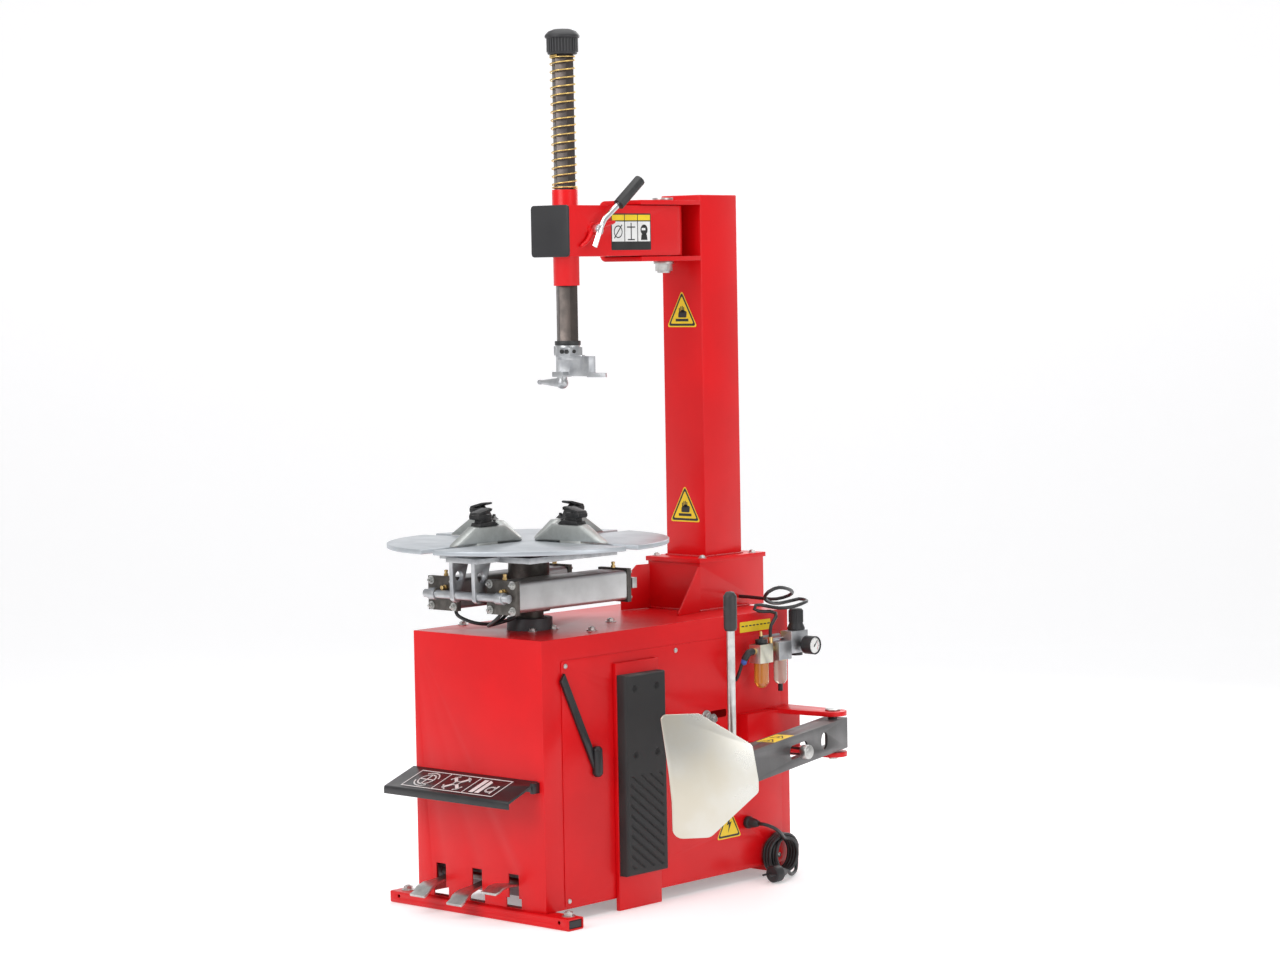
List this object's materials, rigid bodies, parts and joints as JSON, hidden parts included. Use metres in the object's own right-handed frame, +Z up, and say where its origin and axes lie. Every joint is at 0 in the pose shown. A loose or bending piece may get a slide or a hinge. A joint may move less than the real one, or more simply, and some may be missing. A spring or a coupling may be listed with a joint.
{
  "type": "tire changer",
  "caption": "Swing-arm tire changer with a clamping turntable, sprung hex mast and mount head, side bead breaker, foot pedals and an air unit on a red cabinet.",
  "frame": {"origin": "middle of the footprint's bounding box, at floor level", "axes": "+Z up, -Y towards the operator, +X to the operator's right, where the bead breaker is"},
  "size_m": [0.8925, 0.9832, 1.865],
  "materials": {
    "paint": "glossy red paint",
    "grey_paint": "dark grey paint",
    "rubber": "black moulded rubber",
    "hose": "smooth black sheath",
    "steel": "zinc-plated steel",
    "zinc": "yellow-tinted zinc plate",
    "mast_steel": "dark oiled steel",
    "chrome": "polished",
    "alloy": "cast and machined alloy",
    "cast": "machined and silver-painted casting",
    "iron": "black-painted casting",
    "claw": "black oxide",
    "brass": "yellow-plated spring wire",
    "black": "moulded"
  },
  "bodies": {
    "cabinet": {"cabinet_shell": "paint", "front_base_bar": "paint", "side_panel": "paint", "pad_channel": "paint", "bead_pad": "rubber", "column_base": "paint", "column": "paint", "arm_bracket": "paint", "pivot_bolt": "steel", "gearbox": "iron", "drive_motor": "iron", "drive_belt": "rubber", "breaker_cylinder": "alloy", "breaker_bracket": "paint", "breaker_pin": "steel", "pedal_shaft": "steel", "pedal_guard": "grey_paint", "pedal_valve_block": "alloy", "air_regulator": "alloy", "pressure_gauge": "black", "air_filter": "alloy", "air_lubricator": "alloy", "air_hose": "hose", "lubricator_hose": "hose", "cable_gland": "black", "power_lead": "hose", "power_hank": "hose", "power_plug": "black"},
    "table": {"turntable": "cast", "chuck_base": "cast", "clamp_cylinder_left": "alloy", "clamp_cylinder_right": "alloy"},
    "jaw_1": {"jaw_slide_1": "cast", "jaw_claw_1": "claw"},
    "jaw_2": {"jaw_slide_2": "cast", "jaw_claw_2": "claw"},
    "jaw_3": {"jaw_slide_3": "cast", "jaw_claw_3": "claw"},
    "jaw_4": {"jaw_slide_4": "cast", "jaw_claw_4": "claw"},
    "fork": {"clamp_fork": "steel"},
    "arm": {"swing_arm": "paint", "arm_end_cap": "black"},
    "mast_body": {"mast": "mast_steel", "mast_cap": "black", "mast_spring": "brass", "mount_head": "alloy"},
    "lock": {"lock_handle": "chrome"},
    "worm_pulley": {"gearbox_pulley": "iron"},
    "motor_wheel": {"motor_pulley": "iron"},
    "breaker": {"breaker_arm": "grey_paint", "breaker_handle": "steel"},
    "blade": {"breaker_blade": "zinc"},
    "rod": {"breaker_rod": "chrome"},
    "left_pedal": {"pedal_left": "zinc"},
    "middle_pedal": {"pedal_middle": "zinc"},
    "right_pedal": {"pedal_right": "zinc"},
    "knob": {"regulator_knob": "black"},
    "needle": {"gauge_needle": "black"},
    "lever": {"bead_lever": "mast_steel"}
  },
  "joints": [
    {"name": "turntable_spin", "type": "hinge", "parent": "cabinet", "child": "table", "pos_m": [-0.15, -0.191, 0.781], "axis": [0, 0, 1], "continuous": true},
    {"name": "jaw_1_slide", "type": "slide", "parent": "table", "child": "jaw_1", "axis": [1, 0, 0], "range_m": [0, 0.06]},
    {"name": "jaw_2_slide", "type": "slide", "parent": "table", "child": "jaw_2", "axis": [0, 1, 0], "range_m": [0, 0.06]},
    {"name": "jaw_3_slide", "type": "slide", "parent": "table", "child": "jaw_3", "axis": [-1, 0, 0], "range_m": [0, 0.06]},
    {"name": "jaw_4_slide", "type": "slide", "parent": "table", "child": "jaw_4", "axis": [0, -1, 0], "range_m": [0, 0.06]},
    {"name": "clamp_fork_slide", "type": "slide", "parent": "table", "child": "fork", "axis": [0, 1, 0], "range_m": [0, 0.06]},
    {"name": "arm_swing", "type": "hinge", "parent": "cabinet", "child": "arm", "pos_m": [-0.15, 0.255, 1.434], "axis": [0, 0, 1], "range_deg": [0, 90]},
    {"name": "mast_slide", "type": "slide", "parent": "arm", "child": "mast_body", "axis": [0, 0, 1], "range_m": [-0.22, 0], "deforming": ["mast_spring"]},
    {"name": "lock_turn", "type": "hinge", "parent": "arm", "child": "lock", "pos_m": [-0.088, -0.032, 1.4356], "axis": [1, 0, 0], "range_deg": [-45, 35]},
    {"name": "worm_pulley_spin", "type": "hinge", "parent": "cabinet", "child": "worm_pulley", "pos_m": [-0.046, -0.191, 0.48], "axis": [1, 0, 0], "continuous": true},
    {"name": "motor_pulley_spin", "type": "hinge", "parent": "cabinet", "child": "motor_wheel", "pos_m": [-0.046, -0.191, 0.25], "axis": [1, 0, 0], "continuous": true},
    {"name": "breaker_swing", "type": "hinge", "parent": "cabinet", "child": "breaker", "pos_m": [0.188, 0.409, 0.3255], "axis": [0, 0, 1], "range_deg": [-13, 10]},
    {"name": "breaker_rod_slide", "type": "slide", "parent": "cabinet", "child": "rod", "axis": [1, 0, 0], "range_m": [-0.066, 0.051]},
    {"name": "blade_turn", "type": "hinge", "parent": "breaker", "child": "blade", "pos_m": [0.37153, -0.16644, 0.3255], "axis": [0, 0, 1], "range_deg": [-6, 6]},
    {"name": "pedal_left_press", "type": "hinge", "parent": "cabinet", "child": "left_pedal", "pos_m": [-0.27, -0.301, 0.07], "axis": [1, 0, 0], "range_deg": [-13, 5]},
    {"name": "pedal_middle_press", "type": "hinge", "parent": "cabinet", "child": "middle_pedal", "pos_m": [-0.162, -0.301, 0.07], "axis": [1, 0, 0], "range_deg": [-16, 2]},
    {"name": "pedal_right_press", "type": "hinge", "parent": "cabinet", "child": "right_pedal", "pos_m": [-0.054, -0.301, 0.07], "axis": [1, 0, 0], "range_deg": [0, 16], "stiffness_Nm_per_rad": 6, "springref_deg": -8.59},
    {"name": "regulator_knob_turn", "type": "hinge", "parent": "cabinet", "child": "knob", "pos_m": [0.088, 0.408, 0.57], "axis": [0, 0, 1], "range_deg": [-170, 170]},
    {"name": "gauge_needle_turn", "type": "hinge", "parent": "cabinet", "child": "needle", "pos_m": [0.141, 0.408, 0.5167], "axis": [1, 0, 0], "range_deg": [-95, 170]},
    {"name": "bead_lever_pull", "type": "slide", "parent": "cabinet", "child": "lever", "axis": [0, -0.4403, 0.8979], "range_m": [0, 0.2]}
  ],
  "couplings": [
    {"joint": "jaw_2_slide", "follows": "jaw_1_slide", "ratio": 1},
    {"joint": "jaw_3_slide", "follows": "jaw_1_slide", "ratio": 1},
    {"joint": "jaw_4_slide", "follows": "jaw_1_slide", "ratio": 1},
    {"joint": "clamp_fork_slide", "follows": "jaw_1_slide", "ratio": 1},
    {"joint": "motor_pulley_spin", "follows": "worm_pulley_spin", "ratio": 3.1818},
    {"joint": "breaker_rod_slide", "follows": "breaker_swing", "m_per_rad": 0.285}
  ]
}
